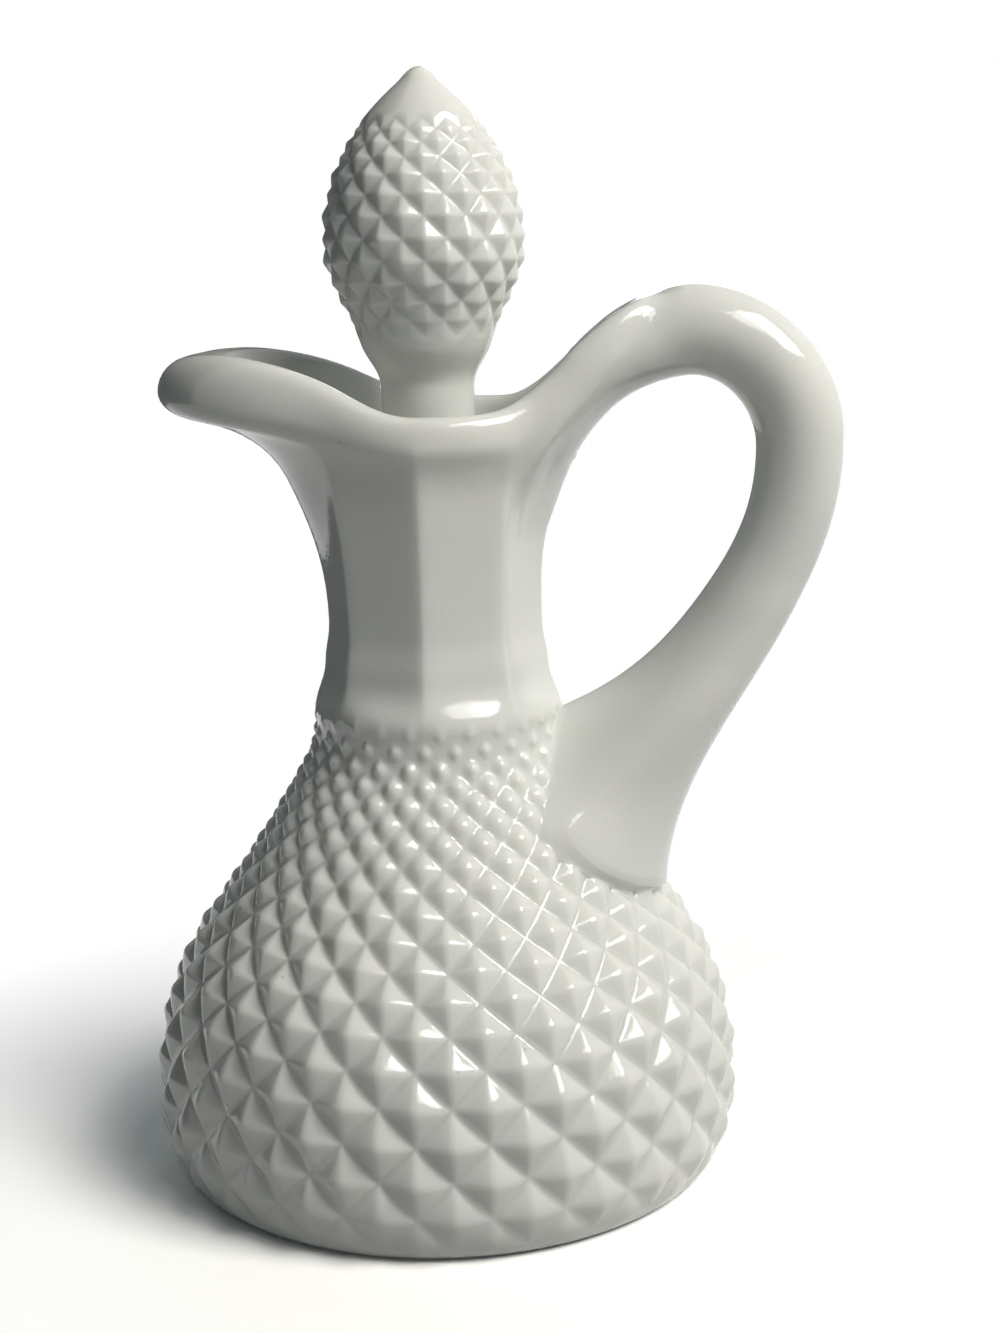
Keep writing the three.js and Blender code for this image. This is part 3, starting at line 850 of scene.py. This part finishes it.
studio = {  # metres and watts
    "floorSize": 6, "floor": (0.65, 0.65, 0.65, 1), "bounce": (0.36, 0.37, 0.37, 1),
    "shadowUntil": (0.05, 0.12), "farFloor": (1, 1, 1, 1),
    "background": (1, 1, 1, 1), "room": (0.012, 0.016, 0.016, 1),
    "lamps": {  # turn and height seen from the bottle, in degrees
        "window": {"turn": 65, "height": 45, "size": (0.5, 0.5), "power": 10.9, "tint": (1, 0.97, 0.91)},
        "glint": {"turn": 38, "height": 45, "size": (0.3, 0.3), "power": 1.7, "tint": (1, 0.98, 0.94)},
        "front": {"turn": -20, "height": 15, "size": (0.6, 0.6), "power": 0.2, "tint": (0.78, 0.96, 1)},
        "left": {"turn": -60, "height": 45, "size": (0.8, 0.8), "power": 0.1, "tint": (0.75, 0.95, 1)},
        "behind": {"turn": -160, "height": 12, "size": (1.2, 0.6), "power": 4.5, "tint": (0.9, 0.98, 1)},
    },
    "lampDistance": 1.1, "lampAim": (0, 0, 0.08),
    "card": {"turn": -125, "distance": 0.35, "size": 0.9, "gray": (0.1, 0.115, 0.12, 1)},
}


def areaLamp(name, lamp):
    data = bpy.data.lights.new(name, "AREA")
    data.shape = "RECTANGLE"
    data.size, data.size_y = lamp["size"]
    data.energy = lamp["power"]
    data.color = lamp["tint"]
    light = bpy.data.objects.new(name, data)
    turn, height = radians(lamp["turn"]), radians(lamp["height"])
    away = Vector((sin(turn) * cos(height), -cos(turn) * cos(height), sin(height)))
    light.location = Vector(studio["lampAim"]) + away * studio["lampDistance"]
    light.rotation_euler = away.to_track_quat("Z", "Y").to_euler()
    bpy.context.scene.collection.objects.link(light)


def diffuseNode(nodes, color):
    shader = nodes.new("ShaderNodeBsdfDiffuse")
    shader.inputs["Color"].default_value = color
    return shader


def mixShaders(tree, factor, first, second):
    mixed = tree.nodes.new("ShaderNodeMixShader")
    linked(tree, factor, mixed.inputs["Fac"])
    linked(tree, first, mixed.inputs[1])
    linked(tree, second, mixed.inputs[2])
    return mixed.outputs["Shader"]


def straightSight(tree):  # 1 for the camera, also by way of a reflection or through something clear
    path = tree.nodes.new("ShaderNodeLightPath")
    sight = path.outputs["Is Camera Ray"]
    for ray in ("Is Glossy Ray", "Is Transmission Ray"):
        either = tree.nodes.new("ShaderNodeMath")
        either.operation = "MAXIMUM"
        linked(tree, sight, either.inputs[0])
        linked(tree, path.outputs[ray], either.inputs[1])
        sight = either.outputs["Value"]
    return sight


def studioPlane(name, size):
    sheet = bmesh.new()
    bmesh.ops.create_grid(sheet, x_segments=1, y_segments=1, size=size / 2)
    mesh = bpy.data.meshes.new(name)
    sheet.to_mesh(mesh)
    sheet.free()
    plane = bpy.data.objects.new(name, mesh)
    bpy.context.scene.collection.objects.link(plane)
    material = bpy.data.materials.new(name)
    material.use_nodes = True
    material.node_tree.nodes.remove(material.node_tree.nodes["Principled BSDF"])
    mesh.materials.append(material)
    return plane, material.node_tree


def paleFloor():  # white paper that runs out into the background; it throws little light back at the glass
    _, tree = studioPlane("paleFloor", studio["floorSize"])
    nodes = tree.nodes
    bounce = diffuseNode(nodes, studio["bounce"])
    paper = nodes.new("ShaderNodeAddShader")  # seen over-exposed, as in the photo
    for socket in paper.inputs:
        linked(tree, diffuseNode(nodes, studio["floor"]).outputs["BSDF"], socket)
    far = nodes.new("ShaderNodeEmission")
    far.inputs["Color"].default_value = studio["farFloor"]
    place, away = nodes.new("ShaderNodeTexCoord"), nodes.new("ShaderNodeVectorMath")
    away.operation = "LENGTH"
    linked(tree, place.outputs["Object"], away.inputs[0])
    farMask = mapRange(nodes, *studio["shadowUntil"], 0, 1)
    linked(tree, away.outputs["Value"], farMask.inputs["Value"])
    seen = mixShaders(tree, farMask.outputs["Result"], paper.outputs["Shader"], far.outputs["Emission"])
    whole = mixShaders(tree, straightSight(tree), bounce.outputs["BSDF"], seen)
    linked(tree, whole, nodes["Material Output"].inputs["Surface"])


def darkCard():  # out of sight on the left: its reflection draws the glass's edge against the white
    card = studio["card"]
    plane, tree = studioPlane("darkCard", card["size"])
    shader = diffuseNode(tree.nodes, card["gray"])
    linked(tree, shader.outputs["BSDF"], tree.nodes["Material Output"].inputs["Surface"])
    turn = radians(card["turn"])
    plane.location = (sin(turn) * card["distance"], -cos(turn) * card["distance"], card["size"] / 2)
    plane.rotation_euler = (pi / 2, 0, turn)
    plane.visible_camera = plane.visible_diffuse = plane.visible_shadow = False


def paleRoom():  # white where it is seen past the object or in its gloss, a dim room for its light
    world = bpy.data.worlds.new("paleRoom")
    bpy.context.scene.world = world
    world.use_nodes = True
    tree = world.node_tree
    room = tree.nodes["Background"]
    room.inputs["Color"].default_value = studio["room"]
    white = tree.nodes.new("ShaderNodeBackground")
    white.inputs["Color"].default_value = studio["background"]
    seen = mixShaders(tree, straightSight(tree), room.outputs["Background"], white.outputs["Background"])
    linked(tree, seen, tree.nodes["World Output"].inputs["Surface"])


paleFloor()
paleRoom()
darkCard()
for lampName, lamp in studio["lamps"].items():
    areaLamp(lampName + "Lamp", lamp)
bpy.context.scene.view_settings.view_transform = "Standard"

photoCamera = {
    "place": (0.036225, -0.317943, 0.146295), "turn": (77.713, 1.3251, 4.4811),
    "lens": 77.486, "sensor": 36, "clipStart": 0.01,
}
lensData = bpy.data.cameras.new("photoCamera")
lensData.sensor_fit = "HORIZONTAL"
lensData.sensor_width = photoCamera["sensor"]
lensData.lens = photoCamera["lens"]
lensData.clip_start = photoCamera["clipStart"]
camera = bpy.data.objects.new("photoCamera", lensData)
camera.location = photoCamera["place"]
camera.rotation_euler = [radians(angle) for angle in photoCamera["turn"]]
bpy.context.scene.collection.objects.link(camera)
bpy.context.scene.camera = camera
print("studio ready")
